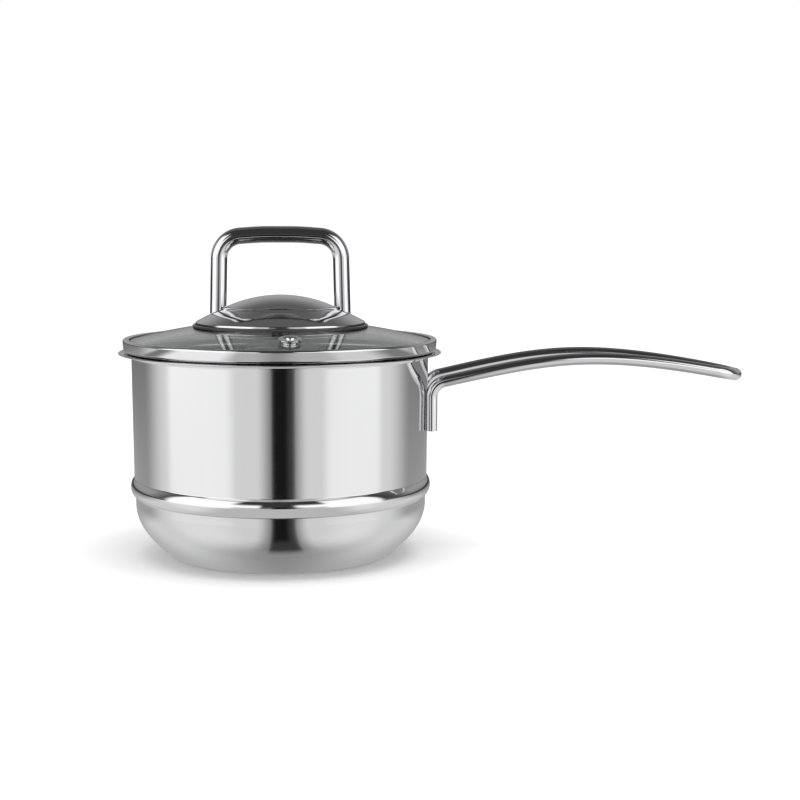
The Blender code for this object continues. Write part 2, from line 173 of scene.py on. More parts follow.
def fillet(before, corner, after, radius, step):
    """Points of an arc that rounds a corner of an outline."""
    share_of_side = 0.49
    hardly_a_corner = 0.02
    into = (Vector(before) - Vector(corner)).normalized()
    away = (Vector(after) - Vector(corner)).normalized()
    half = math.acos(max(-1.0, min(1.0, into.dot(away)))) / 2
    turn = math.pi - 2 * half
    room = share_of_side * min(math.dist(before, corner), math.dist(after, corner))
    radius = min(radius, room * math.tan(half))
    if radius <= 0 or turn < hardly_a_corner:
        return [tuple(corner)]
    centre = Vector(corner) + (into + away).normalized() * radius / math.sin(half)
    first = Vector(corner) + into * radius / math.tan(half) - centre
    last = Vector(corner) + away * radius / math.tan(half) - centre
    count = max(1, math.ceil(turn / step))
    points = []
    for i in range(count + 1):
        share = i / count
        spoke = first * math.sin((1 - share) * turn) + last * math.sin(share * turn)
        points.append(tuple(centre + spoke / math.sin(turn)))
    return points


def outline(corners, step=ARC_STEP):
    """An outline through (radius, height, fillet) corners, with each fillet drawn as an arc."""
    points = [tuple(corners[0][:2])]
    for before, corner, after in zip(corners, corners[1:], corners[2:]):
        points += fillet(before[:2], corner[:2], after[:2], corner[2], step)
    points.append(tuple(corners[-1][:2]))
    return points


def offset(points, distance):
    """The outline moved to its right-hand side, seen along its direction."""
    normals = []
    for a, b in zip(points, points[1:]):
        along = (Vector(b) - Vector(a)).normalized()
        normals.append(Vector((along.y, -along.x)))
    moved = []
    for i, point in enumerate(points):
        before = normals[max(i - 1, 0)]
        after = normals[min(i, len(normals) - 1)]
        mitre = (before + after).normalized()
        moved.append(tuple(Vector(point) + mitre * distance / mitre.dot(after)))
    return moved


def on_axis(points, index):
    """The outline with one end put on the axis."""
    moved = list(points)
    moved[index] = (0.0, moved[index][1])
    return moved


def add_piece(name, mesh, body, slot, finish, *nodes):
    """Adds a finished piece with its body and the nodes it stands for. Its slot is not used."""
    mesh.materials.clear()
    mesh.materials.append(finish)
    piece = bpy.data.objects.new(name, mesh)
    bpy.context.scene.collection.objects.link(piece)
    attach(piece, body)
    if nodes:
        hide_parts(*nodes)


def lathe(points, closed=False, steps=STEPS):
    """Mesh turned from a half section, its doubles merged and its normals made to point out."""
    shape = bmesh.new()
    ring = [shape.verts.new((r, 0.0, z)) for r, z in points]
    edges = [shape.edges.new(pair) for pair in zip(ring, ring[1:])]
    if closed:
        edges.append(shape.edges.new((ring[-1], ring[0])))
    bmesh.ops.spin(
        shape,
        geom=ring + edges,
        axis=(0, 0, 1),
        cent=(0, 0, 0),
        angle=2 * math.pi,
        steps=steps,
        use_merge=True,
    )
    bmesh.ops.remove_doubles(shape, verts=shape.verts, dist=MERGE)
    bmesh.ops.recalc_face_normals(shape, faces=shape.faces)
    mesh = bpy.data.meshes.new("turned")
    shape.to_mesh(mesh)
    shape.free()
    mesh.shade_smooth()
    return mesh


def apply_modifiers(piece):
    """The piece as its modifiers leave it, in a plain mesh."""
    graph = bpy.context.evaluated_depsgraph_get()
    mesh = bpy.data.meshes.new_from_object(piece.evaluated_get(graph))
    bpy.data.objects.remove(piece, do_unlink=True)
    return mesh


def cut(mesh, *cutters):
    """The mesh without the shapes of the cutters."""
    piece = bpy.data.objects.new("cut_piece", mesh)
    bpy.context.scene.collection.objects.link(piece)
    tools = []
    for cutter in cutters:
        tool = bpy.data.objects.new("cutter", cutter)
        bpy.context.scene.collection.objects.link(tool)
        boolean = piece.modifiers.new("cut", "BOOLEAN")
        boolean.operation = "DIFFERENCE"
        boolean.solver = "EXACT"
        boolean.object = tool
        tools.append(tool)
    result = apply_modifiers(piece)
    for tool in tools:
        bpy.data.objects.remove(tool, do_unlink=True)
    return result


def crease(mesh, angle):
    """Smooth faces that stay sharp where they meet at more than the angle."""
    mesh.shade_smooth()
    mesh.set_sharp_from_angle(angle=math.radians(angle))
    return mesh


# Curves of the pan and its lid: the CAD source's, with some sizes read closer off the photo


def wall_radius(height):
    """Outside radius of the pan's wall, which tapers down to the bead."""
    share = (POT_HEIGHT - height) / (POT_HEIGHT - BEAD_CENTRE)
    return POT_RADIUS - WALL_TAPER * share


def bead_arc(count=18):
    """Outside of the bead, a round band pressed outwards from the wall."""
    top_height = BEAD_CENTRE + BEAD_WIDTH / 2
    top = Vector((wall_radius(top_height), top_height))
    bottom = Vector((POT_RADIUS - WALL_TAPER - BEAD_STEP, BEAD_CENTRE - BEAD_WIDTH / 2))
    chord = (top - bottom).length
    radius = (chord * chord / 4 + BEAD_PROUD * BEAD_PROUD) / (2 * BEAD_PROUD)
    outward = Vector((top.y - bottom.y, bottom.x - top.x)).normalized()
    centre = (top + bottom) / 2 + outward * (BEAD_PROUD - radius)
    half = math.asin(min(1.0, chord / 2 / radius))
    lean = math.atan2(outward.y, outward.x)
    points = []
    for i in range(count + 1):
        angle = lean + half * (1 - 2 * i / count)
        points.append((centre.x + radius * math.cos(angle), centre.y + radius * math.sin(angle)))
    return points


def bowl_curve(count=64, corner_count=12):
    """Outside of the bowl below the bead, drawn in ever faster to the round corner of the base."""
    side = POT_RADIUS - WALL_TAPER - BEAD_STEP
    draw = side - BASE_RADIUS
    points = []
    for i in range(count + 1):
        depth = i / count
        slope = math.atan(BOWL_FULLNESS * depth ** (BOWL_FULLNESS - 1) * draw / BOWL_HEIGHT)
        radius = side - draw * depth**BOWL_FULLNESS
        height = BOWL_HEIGHT * (1 - depth)
        # The corner's arc takes over where it touches both the bowl and the base
        if height <= BASE_FILLET * (1 - math.sin(slope)):
            break
        points.append((radius, height))
    centre = radius - BASE_FILLET * math.cos(slope)
    for i in range(corner_count + 1):
        angle = slope + (math.pi / 2 - slope) * i / corner_count
        height = BASE_FILLET * (1 - math.sin(angle))
        points.append((centre + BASE_FILLET * math.cos(angle), height))
    return points


def handle_spread(share):
    """Distance between the handle's two strands, along the arm from the wall to the tip."""
    swell = 4 * HANDLE_MIDDLE_SPREAD - 2 * HANDLE_FEET_SPREAD - 2 * HANDLE_TIP_SPREAD
    taper = HANDLE_TIP_SPREAD - HANDLE_FEET_SPREAD
    return HANDLE_FEET_SPREAD + taper * share + swell * share * (1 - share)


def handle_strand(leg_count=12, bend_count=24, arm_count=90):
    """Centre line of the strand on the -Y side, from the foot to the start of the tip's turn."""
    bend_height = POT_HEIGHT - HANDLE_BEND_BELOW_RIM
    reach = wall_radius(bend_height) + GAP + HANDLE_ROD / 2 - HANDLE_FLAT
    foot = math.sqrt(reach**2 - (HANDLE_FEET_SPREAD / 2) ** 2)
    line = [(foot, bend_height - HANDLE_LEG * (1 - i / leg_count)) for i in range(leg_count)]
    turn = math.pi / 2 - HANDLE_RISE
    for i in range(bend_count + 1):
        angle = turn * i / bend_count
        across = HANDLE_BEND_RADIUS * (1 - math.cos(angle))
        line.append((foot + across, bend_height + HANDLE_BEND_RADIUS * math.sin(angle)))
    start = Vector(line[-1])
    end = Vector((foot + HANDLE_ARM, POT_HEIGHT - HANDLE_TIP_BELOW_RIM))
    span = (end - start).length
    upward = Vector((math.cos(HANDLE_RISE), math.sin(HANDLE_RISE)))
    downward = Vector((math.cos(HANDLE_FALL), -math.sin(HANDLE_FALL)))
    rise = start + upward * span * HANDLE_RISE_HOLD
    fall = end - downward * span * HANDLE_FALL_HOLD
    line += [tuple(p) for p in interpolate_bezier(start, rise, fall, end, arm_count)[1:]]
    return [(x, -handle_spread((x - foot) / HANDLE_ARM) / 2, z) for x, z in line]


def handle_turn(strand, count=60):
    """Centre line of the turn at the tip, which runs on from the strand without a kink."""
    (x0, y0, z0), (x1, y1, z1) = strand[-2:]
    heading = math.atan2(y1 - y0, x1 - x0)
    drop = (z1 - z0) / (x1 - x0)
    radius = -y1 / math.cos(heading)
    centre = x1 - radius * math.sin(heading)
    sweep = math.pi / 2 - heading
    turn = []
    for i in range(1, count):
        angle = sweep * (2 * i / count - 1)
        x = centre + radius * math.cos(angle)
        turn.append((x, radius * math.sin(angle), z1 + drop * (x - x1)))
    return turn


def ring_radius():
    """Outside radius of the rim's wall at its crown."""
    return POT_RADIUS + FLANGE_WIDTH - RING_SETBACK


def glass_radius():
    """The glass stops inside the ring's wall and its bedding."""
    return ring_radius() - RING_LEAN - RING_SHEET - 2 * GAP - BEDDING


def glass_height(radius):
    """Height of the top of the glass at a radius. Its edge stands on the bedding in the ring."""
    edge = glass_radius()
    seat = POT_HEIGHT + GAP + RING_SHEET + 2 * GAP + BEDDING
    lean = math.asin(edge / GLASS_DOME)
    edge_top = seat + GLASS * math.cos(lean)
    return edge_top + math.sqrt(GLASS_DOME**2 - radius**2) - math.sqrt(GLASS_DOME**2 - edge**2)


def ring_outside():
    """Outside of the rolled rim: lip on the glass, crown, leaning wall, curl, floor and skirt."""
    floor = POT_HEIGHT + GAP
    top = glass_height(glass_radius()) + RING_CROWN
    wall = ring_radius()
    lip = wall - RING_LIP
    skirt = POT_RADIUS - WALL - LID_PLAY
    return outline([
        (lip, glass_height(lip) + GAP + RING_SHEET, 0),
        (wall, top, RING_CORNER),
        (wall - RING_LEAN, floor, RING_CURL),
        (skirt, floor, SKIRT_BEND),
        (skirt, floor - SKIRT_DEPTH, 0),
    ])


def rosette_radius():
    return LID_FEET_SPREAD / 2 + LID_ROD / 2 + ROSETTE_MARGIN


def rosette_foot():
    """Height of the rosette's lower edge, which stands on its gasket."""
    return glass_height(rosette_radius()) + 2 * GAP + GASKET_FOOT


def rosette_top():
    return rosette_foot() + ROSETTE_RIM + ROSETTE_SKIRT + ROSETTE_CREASE + ROSETTE_DOME


def rosette_outside(dome_count=32):
    """Outside of the rosette from its crown to its lower edge: dome, crease, skirt and rim."""
    dome_edge = LID_FEET_SPREAD / 2 - LID_ROD / 2 + ROSETTE_DOME_MARGIN
    bulge = (dome_edge**2 + ROSETTE_DOME**2) / (2 * ROSETTE_DOME)
    corners = []
    for i in range(dome_count + 1):
        angle = math.asin(dome_edge / bulge) * i / dome_count
        height = rosette_top() - bulge * (1 - math.cos(angle))
        corners.append((bulge * math.sin(angle), height, 0))
    foot = rosette_foot()
    shoulder = Vector((rosette_radius(), foot + ROSETTE_RIM))
    crease_point = Vector((dome_edge + ROSETTE_CREASE, shoulder.y + ROSETTE_SKIRT))
    middle = (crease_point + shoulder) / 2 + Vector((0, ROSETTE_SWELL))
    corners += [
        (*crease_point, ROSETTE_CREASE_ROUND),
        (*middle, ROSETTE_SWELL_ROUND),
        (*shoulder, ROSETTE_RIM_CORNER),
        (rosette_radius(), foot, 0),
    ]
    return outline(corners)


def vent_place():
    """Transform from the vent's own axis to its place on the glass, Z along the normal."""
    radius = (rosette_radius() + ring_radius() - RING_LIP) / 2
    x = radius * math.cos(VENT_AZIMUTH)
    y = radius * math.sin(VENT_AZIMUTH)
    tilt = Matrix.Rotation(math.asin(radius / GLASS_DOME), 4, "Y")
    turn = Matrix.Rotation(VENT_AZIMUTH, 4, "Z") @ tilt
    return Matrix.Translation((x, y, glass_height(radius))) @ turn


# Materials


def linear(code):
    """A colour written as an sRGB hex value, turned to the linear values that a shader takes."""
    shares = [int(code[i : i + 2], 16) / 255 for i in (1, 3, 5)]
    return (*[s / 12.92 if s <= 0.04045 else ((s + 0.055) / 1.055) ** 2.4 for s in shares], 1.0)


def add(tree, kind, inputs=(), **settings):
    """A node with its settings, and its inputs each set to a value or linked to an output."""
    made = tree.nodes.new(kind)
    for key, value in settings.items():
        setattr(made, key, value)
    for key, value in dict(inputs).items():
        if isinstance(value, bpy.types.NodeSocket):
            tree.links.new(value, made.inputs[key])
        else:
            made.inputs[key].default_value = value
    return made


def worked_out(tree, operation, *values):
    """The result of a math node on values and outputs."""
    return add(tree, "ShaderNodeMath", enumerate(values), operation=operation).outputs[0]


def ranged(tree, value, low, high, first=0.0, last=1.0, **settings):
    """A value between low and high, turned to one between first and last."""
    inputs = enumerate((value, low, high, first, last))
    return add(tree, "ShaderNodeMapRange", inputs, **settings).outputs[0]


def object_place(tree):
    """Coordinates of the object, in metres."""
    return add(tree, "ShaderNodeTexCoord").outputs["Object"]


def noise(tree, place, scale, detail, fineness=0.5):
    """Noise with a given number of patches to the metre."""
    inputs = {"Vector": place, "Scale": scale, "Detail": detail, "Roughness": fineness}
    return add(tree, "ShaderNodeTexNoise", inputs).outputs[0]


def finish(name, **sockets):
    """A material whose shader's sockets have the values given, with its tree and its shader."""
    made = bpy.data.materials.new(name)
    made.use_nodes = True
    shader = made.node_tree.nodes["Principled BSDF"]
    for key, value in sockets.items():
        shader.inputs[key.replace("_", " ")].default_value = value
    return made, made.node_tree, shader


def dulled(tree, shader, pattern, low, high, least, most):
    """Makes a finish's roughness follow a pattern."""
    roughness = ranged(tree, pattern, low, high, least, most)
    tree.links.new(roughness, shader.inputs["Roughness"])


def raised(tree, shader, pattern, strength, distance):
    """Makes a finish's relief follow a pattern."""
    inputs = {"Height": pattern, "Strength": strength, "Distance": distance}
    tree.links.new(add(tree, "ShaderNodeBump", inputs).outputs[0], shader.inputs["Normal"])


def round_the_axis(tree):
    """Coordinates that follow a turned piece: radius, height and the way round it, in metres."""
    # The lines wander by a few mm in a whole turn, so they read as lines and not as spots
    wander = 0.0008
    place = object_place(tree)
    parts = add(tree, "ShaderNodeSeparateXYZ", {0: place})
    flat = add(tree, "ShaderNodeVectorMath", {0: place, 1: (1, 1, 0)}, operation="MULTIPLY")
    radius = add(tree, "ShaderNodeVectorMath", {0: flat.outputs[0]}, operation="LENGTH")
    angle = worked_out(tree, "ARCTAN2", parts.outputs[1], parts.outputs[0])
    drift = worked_out(tree, "MULTIPLY", angle, wander)
    path = {0: radius.outputs["Value"], 1: parts.outputs[2], 2: drift}
    return add(tree, "ShaderNodeCombineXYZ", path).outputs[0]


def mirror_polished_stainless(name="mirror_polished_stainless", roughness=0.07):
    """Drawn 18/10 stainless sheet, spun against a buffing wheel.

    Gives a clear, slightly soft mirror with faint lines round the axis and a trace of handling.
    """
    steel = {"Base_Color": linear("#D6D6D7"), "Metallic": 1.0, "Roughness": roughness}
    made, tree, shader = finish(name, **steel)
    # Buffing lines lie 0.1 mm apart on the real one. They are drawn 0.4 mm apart, to show at all
    lines = noise(tree, round_the_axis(tree), 2500.0, 3.0, 0.6)
    # Handling leaves hazier patches of 20 to 30 mm
    haze = noise(tree, object_place(tree), 40.0, 4.0, 0.55)
    both = worked_out(tree, "MULTIPLY", lines, haze)
    dulled(tree, shader, both, 0.12, 0.42, roughness * 0.8, roughness * 1.35)
    raised(tree, shader, lines, 0.05, 0.00002)
    return made


def polished_round_bar():
    """Drawn stainless bar, bent and tumbled, then buffed along its length.

    Gives a clear mirror that wavers a little, with no lines round it.
    """
    steel = {"Base_Color": linear("#D4D4D6"), "Metallic": 1.0, "Roughness": 0.06}
    made, tree, shader = finish("polished_round_bar", **steel)
    place = object_place(tree)
    # Bending and buffing leave waves of about 6 mm, some microns high
    waves = noise(tree, place, 160.0, 1.0)
    # Buffing grain of 0.3 mm
    grain = noise(tree, place, 3300.0, 2.0)
    dulled(tree, shader, grain, 0.35, 0.65, 0.05, 0.08)
    raised(tree, shader, waves, 0.12, 0.0001)
    return made


def turned_stainless(name="turned_stainless", code="#BDBDBF", roughness=0.25):
    """Small stainless pieces turned or pressed.

    Gives a satin, or a burnished shine, with fine tool lines round the axis.
    """
    steel = {"Base_Color": linear(code), "Metallic": 1.0, "Roughness": roughness}
    made, tree, shader = finish(name, **steel)
    # Tool lines of 0.15 mm feed
    lines = noise(tree, round_the_axis(tree), 6600.0, 2.0)
    dulled(tree, shader, lines, 0.3, 0.7, roughness * 0.75, roughness * 1.35)
    raised(tree, shader, lines, 0.1, 0.00002)
    return made


def tempered_glass():
    """Pressed soda-lime glass, tempered.

    Gives a clear pane with a faint green-grey cast, and long waves left by the press.
    """
    made, tree, shader = finish(
        "tempered_soda_lime_glass",
        Base_Color=linear("#F3F6F5"),
        Metallic=0.0,
        Roughness=0.01,
        IOR=1.52,
        Transmission_Weight=1.0,
    )
    # Press waves of 15 to 20 mm, a micron or two high
    waves = noise(tree, object_place(tree), 55.0, 0.0)
    raised(tree, shader, waves, 0.03, 0.00004)
    return made


def moulded_silicone(name, code, clear, roughness=0.5):
    """Food-grade silicone from a fine-textured mould: satin, with soft broad highlights."""
    made, tree, shader = finish(
        name,
        Base_Color=linear(code),
        Metallic=0.0,
        Roughness=roughness,
        IOR=1.41,
        Transmission_Weight=clear,
    )
    # Mould texture of 0.25 mm grain
    grain = noise(tree, object_place(tree), 4000.0, 2.0)
    dulled(tree, shader, grain, 0.3, 0.7, roughness * 0.84, roughness * 1.2)
    raised(tree, shader, grain, 0.15, 0.00005)
    return made


# Rods, swept along their paths with Geometry Nodes


def rod_tree():
    """Sweeps a round bar along a curve whose points carry its radius, and gives it its finish."""
    tree = bpy.data.node_groups.new("round_bar", "GeometryNodeTree")
    for name, way, kind in (
        ("Path", "INPUT", "NodeSocketGeometry"),
        ("Bar radius", "INPUT", "NodeSocketFloat"),
        ("Sides", "INPUT", "NodeSocketInt"),
        ("Finish", "INPUT", "NodeSocketMaterial"),
        ("Bar", "OUTPUT", "NodeSocketGeometry"),
    ):
        tree.interface.new_socket(name, in_out=way, socket_type=kind)
    given = add(tree, "NodeGroupInput").outputs
    size = {"Resolution": given["Sides"], "Radius": given["Bar radius"]}
    section = add(tree, "GeometryNodeCurvePrimitiveCircle", size)
    sweep = {"Curve": given["Path"], "Profile Curve": section.outputs[0], "Fill Caps": True}
    swept = add(tree, "GeometryNodeCurveToMesh", sweep)
    whole = add(tree, "GeometryNodeRealizeInstances", {0: swept.outputs[0]})
    smooth = add(tree, "GeometryNodeSetShadeSmooth", {0: whole.outputs[0]})
    coat = {"Geometry": smooth.outputs[0], "Material": given["Finish"]}
    coated = add(tree, "GeometryNodeSetMaterial", coat)
    out = add(tree, "NodeGroupOutput")
    tree.links.new(coated.outputs[0], out.inputs[0])
    return tree


def with_round_ends(path, edge):
    """Path points, each with what the bar's radius gains there: less than 0 at its round ends."""
    steps = [edge * (1 - math.cos(math.radians(a))) for a in range(0, 91, 18)]
    reach = [math.sqrt(max(0.0, edge**2 - (edge - s) ** 2)) - edge for s in steps]
    ends = []
    for tip, inner in ((path[0], path[1]), (path[-1], path[-2])):
        along = (Vector(inner) - Vector(tip)).normalized()
        ends.append([(Vector(tip) + along * s, r) for s, r in zip(steps, reach)])
    middle = [(Vector(p), 0.0) for p in path[1:-1]]
    return ends[0] + middle + ends[1][::-1]


def round_bar(tree, path, radius, edge, coat, sides):
    """A bar of round section along a path, as a plain closed mesh."""
    points = with_round_ends(path, edge)
    curve = bpy.data.curves.new("bar_path", "CURVE")
    curve.dimensions = "3D"
    spline = curve.splines.new("POLY")
    spline.points.add(len(points) - 1)
    for point, (place, less) in zip(spline.points, points):
        point.co = (*place, 1.0)
        point.radius = (radius + less) / radius
    guide = bpy.data.objects.new("bar_path", curve)
    bpy.context.scene.collection.objects.link(guide)
    sweep = guide.modifiers.new("sweep", "NODES")
    sweep.node_group = tree
    sockets = {item.name: item.identifier for item in tree.interface.items_tree}
    sweep[sockets["Bar radius"]] = radius
    sweep[sockets["Sides"]] = sides
    sweep[sockets["Finish"]] = coat
    mesh = apply_modifiers(guide)
    shape = bmesh.new()
    shape.from_mesh(mesh)
    bmesh.ops.remove_doubles(shape, verts=shape.verts, dist=ROD_MERGE)
    bmesh.ops.recalc_face_normals(shape, faces=shape.faces)
    shape.to_mesh(mesh)
    shape.free()
    return mesh


# The pan


def make_pot_body(coat):
    """The drawn shell: flange with a round edge, wall, bead, bowl and flat base."""
    nose = POT_RADIUS + FLANGE_WIDTH
    underside = POT_HEIGHT - WALL
    bead = bead_arc()
    corners = [(nose - WALL / 2, underside, 0), (POT_RADIUS, underside, FLANGE_FILLET)]
    corners += [(*bead[0], BEAD_SEAM)]
    corners += [(r, z, 0) for r, z in bead[1:-1]]
    corners += [(*bead[-1], BEAD_SEAM)]
    corners += [(r, z, 0) for r, z in bowl_curve()]
    corners += [(0, 0, 0)]
    outside = outline(corners)
    inside = on_axis(offset(outside, WALL), -1)
    edge = []
    for angle in range(30, 180, 30):
        out, up = math.sin(math.radians(angle)), math.cos(math.radians(angle))
        edge.append((nose - WALL / 2 + WALL / 2 * out, POT_HEIGHT - WALL / 2 + WALL / 2 * up))
    mesh = crease(lathe(inside[::-1] + edge + outside), angle=35)
    add_piece("pot_shell", mesh, "pot", "polished_steel", coat, "pot_body")


def make_long_handle(tree, coat):
    """Hairpin of one bar, its two feet pressed to the curve of the wall."""
    strand = handle_strand()
    far = [(x, -y, z) for x, y, z in strand[::-1]]
    path = strand + handle_turn(strand) + far
    mesh = round_bar(tree, path, HANDLE_ROD / 2, HANDLE_END_ROUND, coat, ROD_SIDES)
    bottom = POT_HEIGHT - HANDLE_BEND_BELOW_RIM - HANDLE_LEG - HANDLE_ROD
    top = POT_HEIGHT - WALL - FLANGE_FILLET
    wall_top, wall_bottom = wall_radius(top) + GAP, wall_radius(bottom) + GAP
    mesh = cut(mesh, lathe([(0, top), (wall_top, top), (wall_bottom, bottom), (0, bottom)]))
    mesh = crease(mesh, angle=40)
    add_piece("hairpin_handle", mesh, "pot", "polished_steel", coat, "long_handle")


# The lid


def make_rim_ring(coat):
    """The rolled rim, one sheet from its lip on the glass to its skirt in the mouth."""
    outside = ring_outside()
    inside = offset(outside, RING_SHEET)
    mesh = crease(lathe(outside + inside[::-1], closed=True), angle=40)
    add_piece("lid_rim", mesh, "lid", "polished_steel", coat, "lid_rim_ring")


def make_rim_bedding(coat):
    """Soft strip between the edge of the glass and the ring."""
    floor = POT_HEIGHT + GAP
    wall = ring_radius() - RING_LEAN
    upper = glass_height(glass_radius()) - GLASS_EDGE
    liner = outline([
        (wall, upper, 0),
        (wall, floor, RING_CURL),
        (wall - RING_CURL - BEDDING_WIDTH, floor, 0),
    ])
    outside = offset(liner, RING_SHEET + GAP)
    inside = offset(liner, RING_SHEET + GAP + BEDDING)
    mesh = crease(lathe(outside + inside[::-1], closed=True), angle=40)
    add_piece("rim_seal", mesh, "lid", "clear_silicone", coat, "rim_bedding")


def make_lid_glass(coat, count=40):
    """Shallow dome of even thickness with ground edges, a screw hole and a vent hole."""
    edge = glass_radius()
    top = []
    for i in range(count + 1):
        radius = SCREW_HOLE + (edge - GLASS_EDGE - SCREW_HOLE) * i / count
        top.append((radius, glass_height(radius)))
    under = offset(top, GLASS)
    under[0] = (SCREW_HOLE, under[0][1])
    under[-1] = (edge - GLASS_EDGE, under[-1][1])
    rim = [(edge, glass_height(edge) - GLASS_EDGE), (edge, under[-1][1] + GLASS_EDGE)]
    mesh = lathe(top + rim + under[::-1], closed=True)
    reach = 2 * GLASS
    hole = [(0, reach), (VENT_HOLE, reach), (VENT_HOLE, -reach), (0, -reach)]
    drill = lathe(hole, steps=SMALL_STEPS)
    drill.transform(vent_place())
    mesh = crease(cut(mesh, drill), angle=30)
    add_piece("lid_pane", mesh, "lid", "tempered_glass", coat, "lid_glass")


def make_vent(steel, silicone):
    """Eyelet with a dished mouth, and its soft grommet, on the vent's own axis."""
    sleeve = EYELET_TUBE + GAP
    flange = GAP + GROMMET_FLANGE
    washer_top = -GLASS - GAP
    washer_under = washer_top - VENT_WASHER
    grommet = [
        (sleeve, flange),
        (GROMMET_RADIUS, flange),
        (GROMMET_RADIUS, GAP),
        (sleeve + GROMMET_SLEEVE, GAP),
        (sleeve + GROMMET_SLEEVE, -GLASS),
        (sleeve, -GLASS),
    ]
    seat = flange + GAP
    crown = seat + EYELET_HEAD
    bore = EYELET_TUBE - EYELET_SHEET
    flare = washer_under - GAP
    eyelet = outline([
        (bore, crown - EYELET_DISH - EYELET_THROAT, 0),
        (EYELET_TUBE, crown - EYELET_DISH, EYELET_ROUND),
        (EYELET_CREST, crown, EYELET_ROUND),
        (EYELET_RADIUS, crown, EYELET_ROUND),
        (EYELET_RADIUS, 2 * GAP, EYELET_UNDERCUT),
        (GROMMET_RADIUS + GAP, GAP, 0),
        (GROMMET_RADIUS + GAP, seat, 0),
        (EYELET_TUBE, seat, 0),
        (EYELET_TUBE, flare, 0),
        (EYELET_FLARE, flare, 0),
        (EYELET_FLARE - EYELET_SHEET / 2, flare - EYELET_SHEET, 0),
        (bore, flare - EYELET_SHEET, 0),
    ])
    for name, section, slot, coat, node in (
        ("vent_sleeve", grommet, "dark_silicone", silicone, "vent_grommet"),
        ("vent_ring", eyelet, "plain_steel", steel, "vent_eyelet"),
    ):
        mesh = lathe(section, closed=True, steps=SMALL_STEPS)
        mesh.transform(vent_place())
        add_piece(name, crease(mesh, angle=40), "lid", slot, coat, node)


def make_rosette(coat):
    """The stamped rosette, open below."""
    outside = rosette_outside()
    inside = on_axis(offset(outside, ROSETTE_SHEET), 0)
    inside[-1] = (rosette_radius() - ROSETTE_SHEET, rosette_foot())
    mesh = crease(lathe(outside + inside[::-1]), angle=25)
    add_piece("rosette", mesh, "lid", "polished_steel", coat, "lid_rosette")


def make_rosette_gasket(coat):
    """Soft ring that the rosette's edge sits in, with a rounded outside and an upstand inside."""
    outer = rosette_radius() + GASKET_PROUD
    inner = rosette_radius() - ROSETTE_SHEET - GAP - GASKET_WIDTH
    upstand = rosette_radius() - ROSETTE_SHEET - GAP
    top = rosette_foot() - GAP
    section = outline([
        (inner, glass_height(inner) + GAP, 0),
        (inner, rosette_foot() + GASKET_UPSTAND, 0),
        (upstand, rosette_foot() + GASKET_UPSTAND, 0),
        (upstand, top, 0),
        (outer, top, GASKET_ROUND),
        (outer, glass_height(outer) + GAP, 0),
    ])
    mesh = crease(lathe(section, closed=True), angle=40)
    add_piece("rosette_seal", mesh, "lid", "dark_silicone", coat, "rosette_gasket")


def make_lid_handle(tree, coat):
    """Arch of one bar in the XZ plane: bowed top, tight shoulders, feet shaped to the rosette."""
    top = rosette_top() + LID_HANDLE_HEIGHT - LID_ROD / 2
    floor = rosette_foot()
    foot = LID_FEET_SPREAD / 2
    shoulder = LID_SHOULDER_SPREAD / 2
    arch = outline([
        (-foot, floor, 0),
        (-shoulder, top - LID_BOW, LID_CORNER),
        (-LID_BOW_START, top, LID_BOW_ROUND),
        (LID_BOW_START, top, LID_BOW_ROUND),
        (shoulder, top - LID_BOW, LID_CORNER),
        (foot, floor, 0),
    ], ROD_ARC_STEP)
    path = [(x, 0, z) for x, z in arch]
    mesh = round_bar(tree, path, LID_ROD / 2, LID_ROD_END_ROUND, coat, LID_ROD_SIDES)
    cover = on_axis(offset(rosette_outside(), -GAP), 0)
    below = floor - 2 * LID_ROD
    mesh = cut(mesh, lathe(cover + [(rosette_radius() + GAP, below), (0, below)]))
    mesh = crease(mesh, angle=40)
    add_piece("arch_handle", mesh, "lid", "polished_steel", coat, "lid_handle")


# The studio


def between(tree, value, low, high, soft):
    """A mask that is 1 between two values, with soft edges."""
    smooth = {"interpolation_type": "SMOOTHSTEP"}
    climb = ranged(tree, value, low - soft, low + soft, **smooth)
    fall = ranged(tree, value, high - soft, high + soft, 1.0, 0.0, **smooth)
    return worked_out(tree, "MULTIPLY", climb, fall)


def laid_over(tree, shade, level, mask):
    """The shade with a card of one level laid over it where the mask is 1."""
    return add(tree, "ShaderNodeMix", {0: mask, 2: shade, 3: level}).outputs[0]


def bearing_of(tree, place):
    """Degrees round the object from the camera's side, to the right."""
    parts = add(tree, "ShaderNodeSeparateXYZ", {0: place})
    away = worked_out(tree, "MULTIPLY", parts.outputs[1], -1.0)
    turn = worked_out(tree, "ARCTAN2", parts.outputs[0], away)
    return worked_out(tree, "MULTIPLY", turn, math.degrees(1))


def bare_material(name):
    """A material without a node, and its tree."""
    made = bpy.data.materials.new(name)
    made.use_nodes = True
    made.node_tree.nodes.clear()
    return made, made.node_tree


def light_up(tree, shade, cover=None):
    """Ends a card's tree. It shines at its shade, where its cover is 1 if it has one."""
    glow = add(tree, "ShaderNodeEmission", {"Strength": shade}).outputs[0]
    if cover is not None:
        clear = add(tree, "ShaderNodeBsdfTransparent").outputs[0]
        glow = add(tree, "ShaderNodeMixShader", {0: cover, 1: clear, 2: glow}).outputs[0]
    out = add(tree, "ShaderNodeOutputMaterial")
    tree.links.new(glow, out.inputs[0])


def band(pairs):
    """A strip of faces through pairs of points."""
    shape = bmesh.new()
    before = None
    for pair in pairs:
        ends = [shape.verts.new(point) for point in pair]
        if before:
            shape.faces.new((before[0], before[1], ends[1], ends[0]))
        before = ends
    return shape


